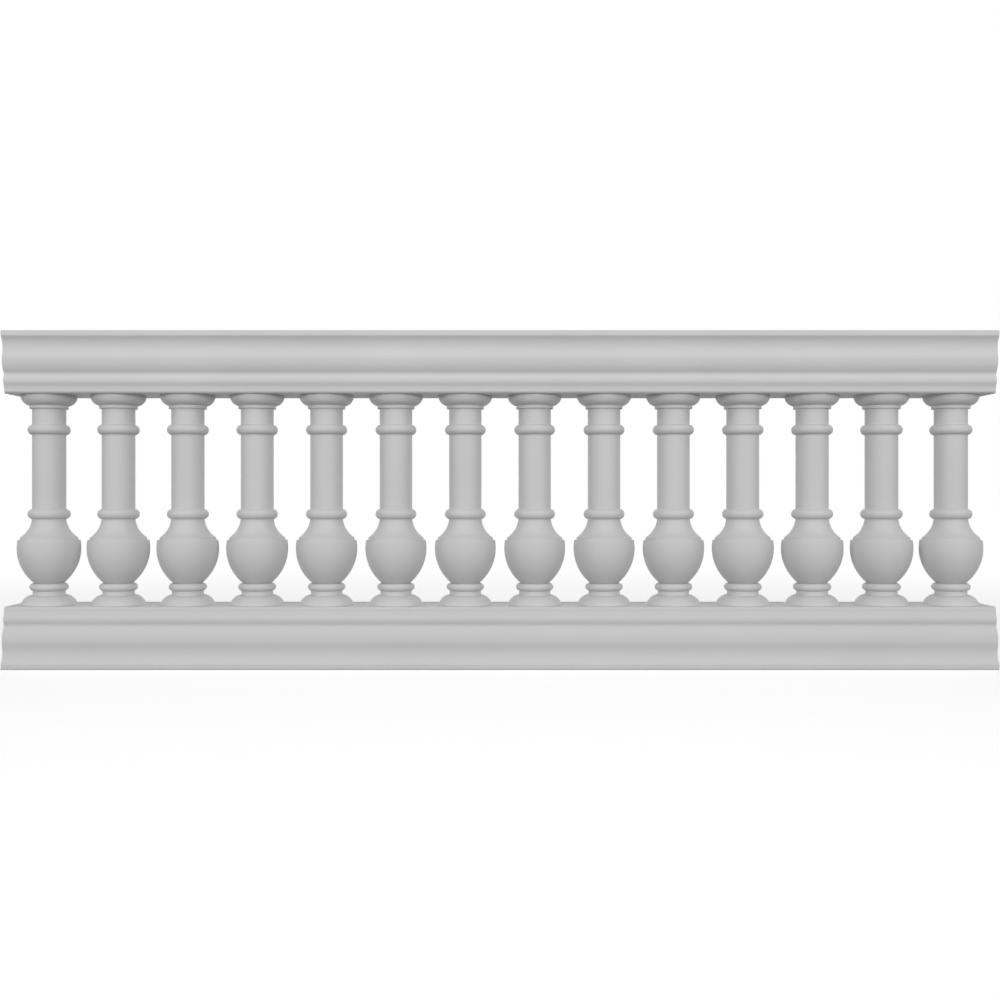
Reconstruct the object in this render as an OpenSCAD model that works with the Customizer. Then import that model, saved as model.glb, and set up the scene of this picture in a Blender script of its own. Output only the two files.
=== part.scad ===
// Moulded fibreglass balustrade: one straight section.
// A hollow bottom rail and a hollow top rail, the same moulding turned over, hold a row of
// turned balusters. Each baluster is threaded on a steel tube whose ends sit in blind
// sockets inside the two rails. X runs along the rails, Z is up, and the origin is at the
// middle of the section, on the underside of the bottom rail.

/* [Section] */
// Number of balusters
baluster_count = 14; // [2:1:20]
// Clear gap between two neighbouring shafts
shaft_gap = 101.6; // [80:0.1:160]
// Height of a baluster, from rail to rail
baluster_h = 571.5; // [450:0.5:900]
// How far the rails run on past the middle of the outermost balusters
end_reach = 90; // [85:0.5:150]

/* [Rail moulding] */
// Width of the narrow face that meets the balusters
narrow_w = 170; // [165:1:200]
// How far the fascia, the rail's widest band, stands proud of the narrow face
fascia_out = 23.2; // [21:0.1:34]
// Height of the fascia's upright side
fascia_h = 12.2; // [8.4:0.1:16]
// Radius on the edge of the wide face
fascia_top_r = 4; // [1:0.1:5]
// Radius that turns the fascia over into the cove
fascia_low_r = 6.4; // [4:0.1:14]
// How far the cove stands proud of the narrow face at its throat
throat_out = 10.6; // [8:0.1:13]
// Radius of the cove
cove_r = 44.7; // [38:0.1:60]
// How far the belly stands proud of the narrow face
belly_out = 15.4; // [14:0.1:20]
// Radius of the belly beside the cove
belly_upper_r = 44.1; // [30:0.1:60]
// Straight stretch between the belly's two rounds
belly_flat_h = 2.4; // [1:0.1:16]
// Radius of the belly beside the groove
belly_lower_r = 52.5; // [40:0.5:70]
// How far the groove stands proud of the narrow face at its bottom
groove_out = 2.4; // [1:0.1:4]
// Radius of the groove
groove_r = 12.5; // [8:0.5:20]
// How far the bead stands proud of the narrow face
bead_out = 6.4; // [5:0.1:9]
// Radius of the bead
bead_r = 21.5; // [16:0.5:30]
// Radius of the hollow between the bead and the narrow face
hollow_r = 32.9; // [24:0.1:50]
// Height of the upright side between that hollow and the narrow face
edge_h = 9; // [8.5:0.5:16]
// Radius on the edge of the narrow face
edge_r = 8; // [1:0.5:8]
// Thickness of the laminate in the rails
rail_wall = 6.5; // [4:0.1:8]

/* [Baluster turning] */
// Diameter of the shaft
shaft_d = 88.9; // [80:0.1:105]
// Thickness of the laminate in the balusters
baluster_wall = 6; // [4:0.1:8]
// Diameter of the foot at the bottom rail
foot_d = 147.4; // [130:0.1:165]
// Diameter of the foot at its top
foot_top_d = 100; // [94:0.1:110]
// Height of the foot
foot_h = 25.3; // [18:0.1:34]
// How far the foot's side swells beyond a straight taper
foot_swell = 4.4; // [2:0.1:7]
// Diameter of the neck between foot and lower ring
low_neck_d = 85.6; // [80:0.1:90]
// Height of that neck
low_neck_h = 12.3; // [6:0.1:20]
// Diameter of the lower ring
low_ring_d = 102.4; // [96:0.1:116]
// Height of the lower ring
low_ring_h = 20.4; // [14:0.1:26]
// Diameter of the vase at its bottom
vase_low_d = 76.6; // [70:0.1:90]
// Diameter of the vase at its top edge
vase_top_d = 163.4; // [150:0.1:172]
// Height of the vase
vase_h = 118.1; // [95:0.1:145]
// How far the vase's side swells beyond a straight taper
vase_swell = 17.2; // [12:0.1:20]
// Diameter of the shoulder on the vase
shoulder_d = 151; // [130:0.1:158]
// Height from the vase's top edge to the lower shaft ring
flare_h = 57; // [46:0.1:70]
// Radius of the hollow flare from shoulder to shaft
flare_r = 67.5; // [50:0.5:90]
// How far inside the lower shaft ring the flare ends
flare_lap = 6.9; // [2:0.1:12]
// Diameter of the two shaft rings
ring_d = 112.2; // [106:0.1:124]
// Height of a shaft ring
ring_h = 28.2; // [22:0.1:34]
// Height of the neck above the upper shaft ring
top_neck_h = 43.6; // [30:0.1:56]
// Diameter of the fillet under the cap
fillet_d = 102.2; // [96:0.1:112]
// Height of that fillet
fillet_h = 7.7; // [4:0.1:12]
// Diameter of the cap at the top rail
cap_d = 148; // [130:0.1:165]
// Height of the cap, which is also the radius of its round side
cap_h = 28.2; // [20:0.1:34]

/* [Pins] */
// Outer diameter of the steel tube
pin_d = 38.1; // [25:0.1:48]
// Wall of the steel tube
pin_wall = 3.2; // [2:0.1:5]
// How far a pin reaches into each rail
pin_reach = 57.2; // [30:0.1:80]
// Play round a pin and at its ends
pin_play = 0.3; // [0.1:0.05:1]
// Wall round a pin inside the rails
socket_wall = 8; // [4:0.5:12]

/* [Hidden] */
$fn = 128;
cut = 1;

fibreglass = [0.86, 0.86, 0.85];
steel = [0.55, 0.56, 0.58];

// The section as a whole
baluster_spacing = shaft_d + shaft_gap;
rail_l = (baluster_count - 1) * baluster_spacing + 2 * end_reach;

// The rail moulding is a chain of reverse curves, each a hollow and a round that are tangent
// to one another and upright at their far ends. The rise is the height such a curve takes
// to step sideways, and its two arcs meet where their radii divide that height.
function rise(r0, r1, step) = sqrt(step * (2 * (r0 + r1) - step));
function meeting(z0, r0, z1, r1) = z0 + (z1 - z0) * r0 / (r0 + r1);

// Heights in the rail moulding, counted from the wide face towards the narrow one
throat_z = fascia_h + rise(fascia_low_r, cove_r, fascia_out - throat_out);
belly_upper_z = throat_z + rise(cove_r, belly_upper_r, belly_out - throat_out);
belly_lower_z = belly_upper_z + belly_flat_h;
groove_z = belly_lower_z + rise(belly_lower_r, groove_r, belly_out - groove_out);
bead_z = groove_z + rise(groove_r, bead_r, bead_out - groove_out);
hollow_z = bead_z + rise(bead_r, hollow_r, bead_out);
rail_h = hollow_z + edge_h;
section_h = 2 * rail_h + baluster_h;

// Distances from the rail's middle plane
narrow_x = narrow_w / 2;
fascia_x = narrow_x + fascia_out;
throat_x = narrow_x + throat_out;
belly_x = narrow_x + belly_out;
groove_x = narrow_x + groove_out;
bead_x = narrow_x + bead_out;

// Heights in the baluster, from its foot up
shaft_r = shaft_d / 2;
low_neck_z = foot_h;
low_ring_z = low_neck_z + low_neck_h;
vase_z = low_ring_z + low_ring_h;
shoulder_z = vase_z + vase_h;
lower_ring_z = shoulder_z + flare_h;
flare_top_z = lower_ring_z + flare_lap;
flare_centre = [shaft_r + flare_r, flare_top_z];
cap_z = baluster_h - cap_h;
fillet_z = cap_z - fillet_h;
upper_ring_z = fillet_z - top_neck_h - ring_h;

// Pins and their sockets
bore_r = pin_d / 2 + pin_play;
socket_depth = pin_reach + pin_play;
socket_r = bore_r + socket_wall;

function two_digits(i) = i < 10 ? str("0", i) : str(i);
function baluster_name(i) = str("baluster_", two_digits(i));
function pin_name(i) = str("pin_", two_digits(i));
function baluster_x(i) = (i - (baluster_count + 1) / 2) * baluster_spacing;

// Radius and centre of the arc that goes up from p to q and bulges outwards by swell from
// the straight line between them
function arc_radius(p, q, swell) =
    let (chord = norm(q - p))
    (chord * chord / 4 + swell * swell) / (2 * swell);
function arc_centre(p, q, swell) =
    let (outward = [q[1] - p[1], p[0] - q[0]] / norm(q - p))
    (p + q) / 2 + outward * (swell - arc_radius(p, q, swell));

// The vase's side is one arc
vase_p = [vase_low_d / 2, vase_z];
vase_q = [vase_top_d / 2, shoulder_z];
vase_centre = arc_centre(vase_p, vase_q, vase_swell);
vase_r = arc_radius(vase_p, vase_q, vase_swell);

// Bands of a profile, alike on both sides of its middle line, from height z0 to height z1
module straight_band(z0, z1, x) {
    polygon([[-x, z0], [x, z0], [x, z1], [-x, z1]]);
}

// One circle on each side of the middle line
module circle_pair(centre, r) {
    for (side = [-1, 1]) {
        translate([side * centre[0], centre[1]]) circle(r);
    }
}

// A band whose side is a round that bulges outwards. A centre beyond the middle line makes
// a flatter side, where both circles overlap.
module round_band(z0, z1, centre, r) {
    intersection() {
        straight_band(z0, z1, centre[0] + r + cut);
        if (centre[0] > 0) {
            union() {
                circle_pair(centre, r);
                straight_band(z0, z1, centre[0]);
            }
        } else {
            intersection() {
                translate(centre) circle(r);
                translate([-centre[0], centre[1]]) circle(r);
            }
        }
    }
}

// A band whose side is a hollow round, cut back from a straight side at x
module cove_band(z0, z1, x, centre, r) {
    difference() {
        straight_band(z0, z1, x);
        circle_pair(centre, r);
    }
}

// The same where the hollow takes up the whole band
module hollow_band(z0, z1, centre, r) {
    cove_band(z0, z1, centre[0], centre, r);
}

// A band with a half-round side
module ring_band(z0, z1, x) {
    r = (z1 - z0) / 2;
    round_band(z0, z1, [x - r, z0 + r], r);
}

// The rail's section, with its wide face at height 0. A skin moves the outline that far
// inwards, which gives the space inside the shell. An edge whose radius the skin uses up
// is sharp in there.
module rail_outline(skin) {
    top_z = max(skin, fascia_top_r);
    cove_centre = [throat_x + cove_r, throat_z];
    cove_z0 = meeting(fascia_h, fascia_low_r - skin, throat_z, cove_r + skin);
    belly_z0 = meeting(throat_z, cove_r + skin, belly_upper_z, belly_upper_r - skin);
    groove_z0 = meeting(belly_lower_z, belly_lower_r - skin, groove_z, groove_r + skin);
    bead_z0 = meeting(groove_z, groove_r + skin, bead_z, bead_r - skin);
    hollow_z0 = meeting(bead_z, bead_r - skin, hollow_z, hollow_r + skin);

    if (fascia_top_r > skin) {
        round_band(skin, fascia_top_r, [fascia_x - fascia_top_r, fascia_top_r],
            fascia_top_r - skin);
    }
    if (fascia_low_r > skin) {
        straight_band(top_z, fascia_h, fascia_x - skin);
        round_band(fascia_h, cove_z0, [fascia_x - fascia_low_r, fascia_h], fascia_low_r - skin);
        hollow_band(cove_z0, belly_z0, cove_centre, cove_r + skin);
    } else {
        cove_band(top_z, belly_z0, fascia_x - skin, cove_centre, cove_r + skin);
    }
    round_band(belly_z0, belly_upper_z, [belly_x - belly_upper_r, belly_upper_z],
        belly_upper_r - skin);
    straight_band(belly_upper_z, belly_lower_z, belly_x - skin);
    round_band(belly_lower_z, groove_z0, [belly_x - belly_lower_r, belly_lower_z],
        belly_lower_r - skin);
    hollow_band(groove_z0, bead_z0, [groove_x + groove_r, groove_z], groove_r + skin);
    round_band(bead_z0, hollow_z0, [bead_x - bead_r, bead_z], bead_r - skin);
    hollow_band(hollow_z0, hollow_z, [narrow_x + hollow_r, hollow_z], hollow_r + skin);
    straight_band(hollow_z, rail_h - max(skin, edge_r), narrow_x - skin);
    if (edge_r > skin) {
        round_band(rail_h - edge_r, rail_h - skin, [narrow_x - edge_r, rail_h - edge_r],
            edge_r - skin);
    }
}

// One rail with its wide face down, and a blind socket in its narrow face for each pin
module rail() {
    difference() {
        union() {
            rotate([90, 0, 90])
                linear_extrude(rail_l, center = true)
                    difference() {
                        rail_outline(0);
                        rail_outline(rail_wall);
                    }
            for (i = [1 : baluster_count]) {
                translate([baluster_x(i), 0, rail_h - socket_depth - socket_wall])
                    cylinder(r = socket_r, h = socket_depth + socket_wall - rail_wall / 2);
            }
        }
        for (i = [1 : baluster_count]) {
            translate([baluster_x(i), 0, rail_h - socket_depth])
                cylinder(r = bore_r, h = socket_depth + cut);
        }
    }
}

module bottom_rail() {
    color(fibreglass) rail();
}

module top_rail() {
    color(fibreglass) translate([0, 0, section_h]) mirror([0, 0, 1]) rail();
}

// The baluster's section, from its foot up
module baluster_outline() {
    foot_p = [foot_d / 2, 0];
    foot_q = [foot_top_d / 2, foot_h];
    round_band(0, low_neck_z, arc_centre(foot_p, foot_q, foot_swell),
        arc_radius(foot_p, foot_q, foot_swell));
    straight_band(low_neck_z, low_ring_z, low_neck_d / 2);
    ring_band(low_ring_z, vase_z, low_ring_d / 2);
    round_band(vase_z, shoulder_z, vase_centre, vase_r);
    cove_band(shoulder_z, flare_top_z, shoulder_d / 2, flare_centre, flare_r);
    straight_band(flare_top_z, fillet_z, shaft_r);
    ring_band(lower_ring_z, lower_ring_z + ring_h, ring_d / 2);
    ring_band(upper_ring_z, upper_ring_z + ring_h, ring_d / 2);
    // The fillet runs on into the cap, whose round side would only touch it otherwise.
    straight_band(fillet_z, cap_z + cut, fillet_d / 2);
    round_band(cap_z, baluster_h, [cap_d / 2 - cap_h, baluster_h], cap_h);
}

// The space inside the baluster: its wall follows vase, flare and shaft, while the foot and
// the cap stay thick, as collars round the tube.
module baluster_cavity() {
    round_band(vase_z + baluster_wall, shoulder_z - baluster_wall, vase_centre,
        vase_r - baluster_wall);
    cove_band(shoulder_z - baluster_wall, flare_top_z, shoulder_d / 2 - baluster_wall,
        flare_centre, flare_r + baluster_wall);
    straight_band(flare_top_z, fillet_z, shaft_r - baluster_wall);
}

module baluster(i) {
    color(fibreglass)
        translate([baluster_x(i), 0, rail_h])
            rotate_extrude() {
                intersection() {
                    difference() {
                        baluster_outline();
                        baluster_cavity();
                    }
                    translate([bore_r, 0]) square([vase_top_d, baluster_h]);
                }
            }
}

// The steel tube through one baluster, with an end in each rail
module pin(i) {
    color(steel)
        translate([baluster_x(i), 0, rail_h - pin_reach]) {
            difference() {
                cylinder(d = pin_d, h = baluster_h + 2 * pin_reach);
                translate([0, 0, -cut])
                    cylinder(d = pin_d - 2 * pin_wall, h = baluster_h + 2 * pin_reach + 2 * cut);
            }
        }
}

bottom_rail();
top_rail();
for (i = [1 : baluster_count]) {
    baluster(i);
    pin(i);
}
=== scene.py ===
"""Looks of the fibreglass balustrade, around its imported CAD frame. Metres, Z up, X along the rails."""

import math

import bmesh
import bpy
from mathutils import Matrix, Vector


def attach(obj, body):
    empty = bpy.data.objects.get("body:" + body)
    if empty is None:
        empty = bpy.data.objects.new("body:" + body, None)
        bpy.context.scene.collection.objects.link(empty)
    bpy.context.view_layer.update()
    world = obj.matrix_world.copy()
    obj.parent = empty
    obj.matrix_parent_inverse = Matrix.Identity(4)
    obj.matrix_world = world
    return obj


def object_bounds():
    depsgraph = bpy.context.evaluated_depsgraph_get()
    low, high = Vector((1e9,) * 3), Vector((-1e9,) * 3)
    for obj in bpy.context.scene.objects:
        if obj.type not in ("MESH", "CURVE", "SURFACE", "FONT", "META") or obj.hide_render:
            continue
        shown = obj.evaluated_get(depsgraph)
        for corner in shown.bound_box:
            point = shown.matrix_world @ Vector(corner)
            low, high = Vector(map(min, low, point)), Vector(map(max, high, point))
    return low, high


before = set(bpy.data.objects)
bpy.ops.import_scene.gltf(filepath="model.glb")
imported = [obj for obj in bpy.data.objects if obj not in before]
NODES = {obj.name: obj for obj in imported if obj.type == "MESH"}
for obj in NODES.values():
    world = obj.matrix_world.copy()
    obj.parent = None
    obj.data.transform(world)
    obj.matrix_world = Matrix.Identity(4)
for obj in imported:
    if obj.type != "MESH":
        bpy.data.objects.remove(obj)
cad_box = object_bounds()
LOW, HIGH = cad_box
MIDDLE = (LOW + HIGH) / 2
RAILS = ("bottom_rail", "top_rail")

# Camera: level, square to the rails, at the height of the section's middle
LENS_MM = 44.2
SENSOR_MM = 36
EYE_DISTANCE = 3.373
VIEW_LIMIT = 100

# Light: two wide soft lamps low on either side of the camera, one low behind the section, a long
# panel high in front, and an even sky
FRONT_AZIMUTH = 40
FRONT_STRENGTH = 1.46
BACK_AZIMUTH = 180
BACK_STRENGTH = 2.2
LOW_ELEVATION = 4
LAMP_SPREAD = 25
LAMP_DISTANCE = 3.6
PANEL_LENGTH = 7.0
PANEL_HEIGHT = 1.2
PANEL_ELEVATION = 45
PANEL_WATTS = 42
SKY_STRENGTH = 0.3

# Floor: what it gives back, how pale it looks under the lamps, and the glow that makes it white, which
# grows with the distance from the section as the panel's light falls off
FLOOR_SIZE = 60
FLOOR_BOUNCE = 0.2
FLOOR_PALE = 0.9
NEAR_GLOW = 0.45
FAR_GLOW = 0.61
NEAR_REACH = 1.5
FAR_REACH = 6.0

# Gelcoat: greys of the clouding, roughness, and relief from the longest waves to the finest
GELCOAT_GREYS = (0.588, 0.608)
GELCOAT_ROUGHNESS = (0.44, 0.56)
GELCOAT_SHINE = 0.35
WAVE_DEPTH = 0.00035
PRINT_LENGTH, PRINT_WIDTH, PRINT_DEPTH = 0.03, 0.003, 0.00003
PEEL_DEPTH = 0.00006

# Bare laminate where the saw cut the rails square; a face is such an end where its normal lies this
# nearly along X
END_NORMAL = 0.98
SAWN_DARK = (0.40, 0.40, 0.37)
SAWN_PALE = (0.60, 0.60, 0.57)
SAWN_ROUGHNESS = 0.8
SAWN_DEPTH = 0.00020

# Rough side of the laminate inside the rails: chopped strands in resin, as a coat of this thickness
# on the CAD's inner skin
LINING_THICKNESS = 0.0007
STRAND_LENGTH, STRAND_WIDTH, STRAND_DEPTH = 0.035, 0.0022, 0.00025
RESIN_DARK = (0.45, 0.45, 0.43)
RESIN_PALE = (0.51, 0.51, 0.49)
STRAND_COLOUR = (0.66, 0.66, 0.64)
RESIN_ROUGHNESS = (0.25, 0.5)
RESIN_SHINE = 0.5
LUMP_DEPTH = 0.0015
SAME_POINT = 0.00001
SHARP_ANGLE = 30

# Galvanised steel: zinc spangles of two greys
ZINC_DARK = (0.40, 0.41, 0.42)
ZINC_PALE = (0.56, 0.57, 0.58)
ZINC_ROUGHNESS = (0.28, 0.48)
ZINC_DEPTH = 0.00003

# Directions of the layers of a fibre mat, as turns in degrees about Y and then Z
MAT_TURNS = ((0, 0), (0, 55), (0, 125), (50, 20), (90, 0), (125, 70), (140, 150))

# The range that most of a noise texture lies in, and its crests where many layers are laid together
NOISE_RANGE = (0.3, 0.7)
CREST_RANGE = (0.62, 0.74)
FULL_RANGE = (0.0, 1.0)


class Shader:
    """Adds and joins nodes in one node tree."""

    def __init__(self, tree):
        self.tree = tree

    def node(self, kind, **settings):
        made = self.tree.nodes.new(kind)
        for key, value in settings.items():
            if hasattr(made, key):
                setattr(made, key, value)
            else:
                made.inputs[key.replace("_", " ")].default_value = value
        return made

    def link(self, source, target):
        self.tree.links.new(source, target)

    def math(self, operation, first, second=0):
        made = self.node("ShaderNodeMath", operation=operation)
        for socket, value in zip(made.inputs, (first, second)):
            if isinstance(value, (int, float)):
                socket.default_value = value
            else:
                self.link(value, socket)
        return made.outputs["Value"]

    def spread(self, value, to_range, from_range=NOISE_RANGE, **settings):
        """Maps one range of a value onto another."""
        made = self.node("ShaderNodeMapRange", **settings)
        made.inputs["From Min"].default_value, made.inputs["From Max"].default_value = from_range
        made.inputs["To Min"].default_value, made.inputs["To Max"].default_value = to_range
        self.link(value, made.inputs["Value"])
        return made.outputs["Result"]

    def seen_directly(self):
        """1 for what the camera sees straight, mirrored or through glass, else 0."""
        path = self.node("ShaderNodeLightPath")
        straight_or_mirrored = self.math(
            "MAXIMUM", path.outputs["Is Camera Ray"], path.outputs["Is Glossy Ray"]
        )
        return self.math("MAXIMUM", straight_or_mirrored, path.outputs["Is Transmission Ray"])


class Material(Shader):
    """A node material around one Principled shader, with its textures in the object's own metres."""

    def __init__(self, name, **constants):
        self.data = bpy.data.materials.new(name)
        self.data.use_nodes = True
        super().__init__(self.data.node_tree)
        self.shader = self.tree.nodes["Principled BSDF"]
        self.place = self.node("ShaderNodeTexCoord").outputs["Object"]
        for socket, value in constants.items():
            self.shader.inputs[socket.replace("_", " ")].default_value = value

    def noise(self, scale, detail=2.0, roughness=0.5, place=None):
        made = self.node("ShaderNodeTexNoise", Scale=scale, Detail=detail, Roughness=roughness)
        self.link(place or self.place, made.inputs["Vector"])
        return made.outputs["Fac"]

    def clouds(self, scale, detail=3.0):
        """Soft patches, from 0 to 1."""
        return self.spread(self.noise(scale, detail), FULL_RANGE)

    def cells(self, scale):
        """A colour of its own for each cell of a broken-up surface."""
        made = self.node("ShaderNodeTexVoronoi", Scale=scale)
        self.link(self.place, made.inputs["Vector"])
        return made.outputs["Color"]

    def strands(self, length, width):
        """Streaks of a given size in metres that cross one another in all directions, as in a fibre mat."""
        crossed = None
        for lean, turn in MAT_TURNS:
            place = self.node("ShaderNodeMapping", vector_type="TEXTURE")
            place.inputs["Rotation"].default_value = (0, math.radians(lean), math.radians(turn))
            place.inputs["Scale"].default_value = (length, width, width)
            self.link(self.place, place.inputs["Vector"])
            layer = self.noise(1.0, detail=0.0, place=place.outputs["Vector"])
            crossed = self.math("MAXIMUM", crossed, layer) if crossed else layer
        return self.spread(crossed, FULL_RANGE, CREST_RANGE)

    def mix(self, factor, first, second):
        """Blends two colours, each a constant or a socket."""
        made = self.node("ShaderNodeMix", data_type="RGBA")
        colours = [s for s in made.inputs if s.type == "RGBA"]
        for socket, colour in zip(colours, (first, second)):
            if isinstance(colour, tuple):
                socket.default_value = (*colour, 1)
            else:
                self.link(colour, socket)
        self.link(factor, made.inputs["Factor"])
        return next(s for s in made.outputs if s.type == "RGBA")

    def bump(self, height, depth, before=None):
        """Adds relief of the given depth in metres, on top of an earlier bump."""
        made = self.node("ShaderNodeBump", Strength=1.0, Distance=depth)
        self.link(height, made.inputs["Height"])
        if before:
            self.link(before, made.inputs["Normal"])
        return made.outputs["Normal"]

    def finish(self, colour, roughness, normal):
        self.link(colour, self.shader.inputs["Base Color"])
        self.link(roughness, self.shader.inputs["Roughness"])
        self.link(normal, self.shader.inputs["Normal"])
        return self.data


def grey(value):
    return (value, value, value)


def gelcoat_skin(m):
    """Colour, roughness and relief of gelcoat: faint clouding, long moulded waves, the fibres below
    just showing through, and fine orange peel."""
    dark, pale = GELCOAT_GREYS
    colour = m.mix(m.clouds(5.0), grey(dark), grey(pale))
    roughness = m.spread(m.noise(60.0, detail=3.0), GELCOAT_ROUGHNESS)
    waves = m.bump(m.noise(14.0, detail=1.0), WAVE_DEPTH)
    print_through = m.bump(m.strands(PRINT_LENGTH, PRINT_WIDTH), PRINT_DEPTH, waves)
    peel = m.bump(m.noise(420.0), PEEL_DEPTH, print_through)
    return colour, roughness, peel


def gelcoat():
    m = Material("gelcoat", Specular_IOR_Level=GELCOAT_SHINE)
    return m.finish(*gelcoat_skin(m))


def gelcoat_with_cut_ends():
    """Gelcoat on the rails, whose faces across X are the bare laminate that the saw left."""
    m = Material("gelcoat_with_cut_ends", Specular_IOR_Level=GELCOAT_SHINE)
    colour, roughness, relief = gelcoat_skin(m)
    normal = m.node("ShaderNodeSeparateXYZ")
    m.link(m.node("ShaderNodeNewGeometry").outputs["True Normal"], normal.inputs["Vector"])
    cut = m.math("GREATER_THAN", m.math("ABSOLUTE", normal.outputs["X"]), END_NORMAL)
    fibres = m.noise(900.0, detail=3.0, roughness=0.7)
    bare = m.mix(m.spread(fibres, FULL_RANGE), SAWN_DARK, SAWN_PALE)
    sawn = m.bump(m.math("MULTIPLY", fibres, cut), SAWN_DEPTH, relief)
    rough = m.math("MAXIMUM", roughness, m.math("MULTIPLY", cut, SAWN_ROUGHNESS))
    return m.finish(m.mix(cut, colour, bare), rough, sawn)


def laminate():
    """The rough side of the laminate: chopped strands under an uneven coat of resin."""
    m = Material("laminate", Specular_IOR_Level=RESIN_SHINE)
    strand = m.strands(STRAND_LENGTH, STRAND_WIDTH)
    resin = m.mix(m.clouds(18.0), RESIN_DARK, RESIN_PALE)
    colour = m.mix(strand, resin, STRAND_COLOUR)
    roughness = m.spread(m.noise(40.0), RESIN_ROUGHNESS)
    lumps = m.bump(m.noise(55.0, detail=3.0), LUMP_DEPTH)
    relief = m.bump(strand, STRAND_DEPTH, lumps)
    return m.finish(colour, roughness, relief)


def galvanised_steel():
    """Galvanised tube: grey zinc with large soft spangles."""
    m = Material("galvanised_steel", Metallic=1.0)
    tone = m.node("ShaderNodeSeparateColor")
    m.link(m.cells(90.0), tone.inputs["Color"])
    colour = m.mix(tone.outputs["Red"], ZINC_DARK, ZINC_PALE)
    roughness = m.spread(tone.outputs["Green"], ZINC_ROUGHNESS, FULL_RANGE)
    relief = m.bump(m.noise(300.0, detail=3.0), ZINC_DEPTH)
    return m.finish(colour, roughness, relief)


def dress(names, material):
    for name in names:
        slots = NODES[name].data.materials
        slots.clear()
        slots.append(material)


def names_of(kind):
    return [name for name in NODES if name.startswith(kind)]


def enclosed(rail, point):
    """Whether the rail closes round a point on all four sides across its length."""
    ways = [Vector((0, side, 0)) for side in (1, -1)] + [Vector((0, 0, side)) for side in (1, -1)]
    return all(rail.ray_cast(point, way)[0] for way in ways)


def inner_skin(rail, name):
    """A mesh of the rail's faces that look into its hollow."""
    skin = bmesh.new()
    skin.from_mesh(rail.data)
    outside = [
        face
        for face in skin.faces
        if not enclosed(rail, face.calc_center_median() + face.normal * LINING_THICKNESS)
    ]
    bmesh.ops.delete(skin, geom=outside, context="FACES")
    bmesh.ops.remove_doubles(skin, verts=skin.verts, dist=SAME_POINT)
    mesh = bpy.data.meshes.new(name)
    skin.to_mesh(mesh)
    skin.free()
    mesh.attributes.remove(mesh.attributes["custom_normal"])
    mesh.shade_smooth()
    mesh.set_sharp_from_angle(angle=math.radians(SHARP_ANGLE))
    return mesh


def make_lining(rail_name, material):
    """The rough laminate inside a rail, a thin coat on its inner skin."""
    mesh = inner_skin(NODES[rail_name], rail_name + "_lining")
    mesh.materials.clear()
    mesh.materials.append(material)
    lining = bpy.data.objects.new(mesh.name, mesh)
    bpy.context.scene.collection.objects.link(lining)
    coat = lining.modifiers.new("coat", "SOLIDIFY")
    coat.thickness = LINING_THICKNESS
    coat.offset = 1
    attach(lining, "root")


def studio_floor():
    """Gives the object little light back, looks pale under the lamps, and glows up to white."""
    data = bpy.data.materials.new("studio_floor")
    data.use_nodes = True
    data.node_tree.nodes.clear()
    m = Shader(data.node_tree)
    seen = m.seen_directly()
    diffuse = m.node("ShaderNodeBsdfDiffuse")
    m.link(m.spread(seen, (FLOOR_BOUNCE, FLOOR_PALE), FULL_RANGE), diffuse.inputs["Color"])
    distance = m.node("ShaderNodeVectorMath", operation="LENGTH")
    m.link(m.node("ShaderNodeTexCoord").outputs["Object"], distance.inputs["Vector"])
    growth = m.spread(
        distance.outputs["Value"],
        (NEAR_GLOW, FAR_GLOW),
        (NEAR_REACH, FAR_REACH),
        interpolation_type="SMOOTHSTEP",
    )
    glow = m.node("ShaderNodeEmission")
    m.link(m.math("MULTIPLY", seen, growth), glow.inputs["Strength"])
    both = m.node("ShaderNodeAddShader")
    m.link(diffuse.outputs["BSDF"], both.inputs[0])
    m.link(glow.outputs["Emission"], both.inputs[1])
    output = m.node("ShaderNodeOutputMaterial")
    m.link(both.outputs["Shader"], output.inputs["Surface"])
    return data


def make_floor():
    """A floor that reads as white where nothing shades it, and keeps the object's shadow."""
    half = FLOOR_SIZE / 2
    corners = [(-half, -half), (half, -half), (half, half), (-half, half)]
    mesh = bpy.data.meshes.new("floor")
    mesh.from_pydata([(x, y, LOW.z) for x, y in corners], [], [(0, 1, 2, 3)])
    mesh.materials.append(studio_floor())
    floor = bpy.data.objects.new("floor", mesh)
    bpy.context.scene.collection.objects.link(floor)


def make_sky():
    """Even light from all round; white where the camera sees it."""
    world = bpy.data.worlds.new("studio")
    bpy.context.scene.world = world
    world.use_nodes = True
    m = Shader(world.node_tree)
    ground = m.tree.nodes["Background"]
    ground.inputs["Color"].default_value = (1, 1, 1, 1)
    strength = m.spread(m.seen_directly(), (SKY_STRENGTH, 1.0), FULL_RANGE)
    m.link(strength, ground.inputs["Strength"])


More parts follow.
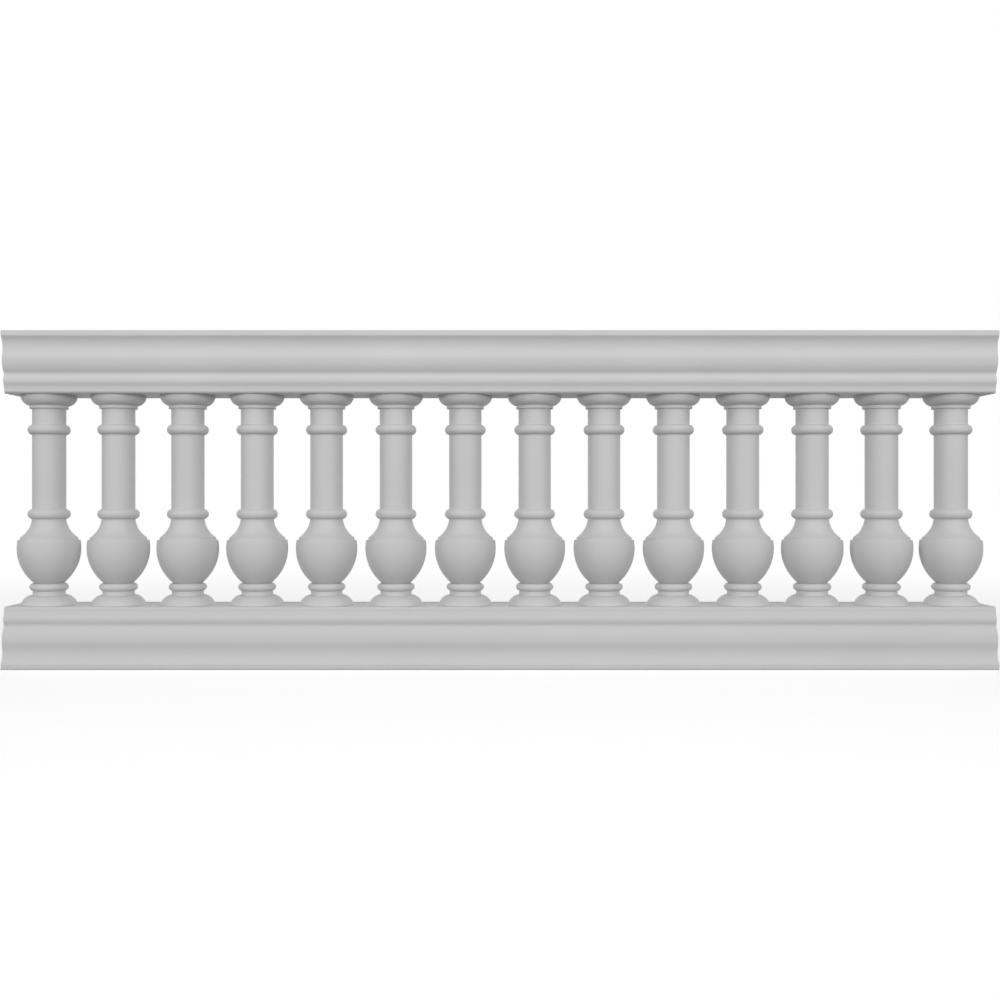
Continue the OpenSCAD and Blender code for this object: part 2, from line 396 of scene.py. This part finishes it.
def aim(name, lamp, azimuth, elevation):
    """Adds a lamp that shines at the section from an angle round it, 0 in front, and a height angle."""
    turn = math.radians(azimuth)
    rise = math.radians(elevation)
    towards = Vector(
        (math.sin(turn) * math.cos(rise), -math.cos(turn) * math.cos(rise), math.sin(rise))
    )
    placed = bpy.data.objects.new(name, lamp)
    placed.location = MIDDLE + towards * LAMP_DISTANCE
    placed.rotation_euler = towards.to_track_quat("Z", "Y").to_euler()
    placed.visible_camera = False
    bpy.context.scene.collection.objects.link(placed)
    return placed


def make_soft_sun(name, azimuth, strength):
    """Adds a wide low lamp whose light is all diffuse, so that flat faces show no glare."""
    lamp = bpy.data.lights.new(name, "SUN")
    lamp.energy = strength
    lamp.angle = math.radians(LAMP_SPREAD)
    placed = aim(name, lamp, azimuth, LOW_ELEVATION)
    placed.visible_glossy = False


def make_panel(name):
    lamp = bpy.data.lights.new(name, "AREA")
    lamp.shape = "RECTANGLE"
    lamp.size = PANEL_LENGTH
    lamp.size_y = PANEL_HEIGHT
    lamp.energy = PANEL_WATTS
    aim(name, lamp, 0, PANEL_ELEVATION)


def make_camera():
    data = bpy.data.cameras.new("camera")
    data.lens = LENS_MM
    data.sensor_width = SENSOR_MM
    data.clip_end = VIEW_LIMIT
    camera = bpy.data.objects.new("camera", data)
    camera.location = (MIDDLE.x, MIDDLE.y - EYE_DISTANCE, MIDDLE.z)
    camera.rotation_euler = (math.radians(90), 0, 0)
    bpy.context.scene.collection.objects.link(camera)
    bpy.context.scene.camera = camera


make_camera()
make_sky()
make_soft_sun("left_lamp", -FRONT_AZIMUTH, FRONT_STRENGTH)
make_soft_sun("right_lamp", FRONT_AZIMUTH, FRONT_STRENGTH)
make_soft_sun("back_lamp", BACK_AZIMUTH, BACK_STRENGTH)
make_panel("high_panel")
make_floor()
bpy.context.scene.view_settings.view_transform = "Standard"

dress(RAILS, gelcoat_with_cut_ends())
dress(names_of("baluster_"), gelcoat())
dress(names_of("pin_"), galvanised_steel())
rough_side = laminate()
for rail_name in RAILS:
    make_lining(rail_name, rough_side)
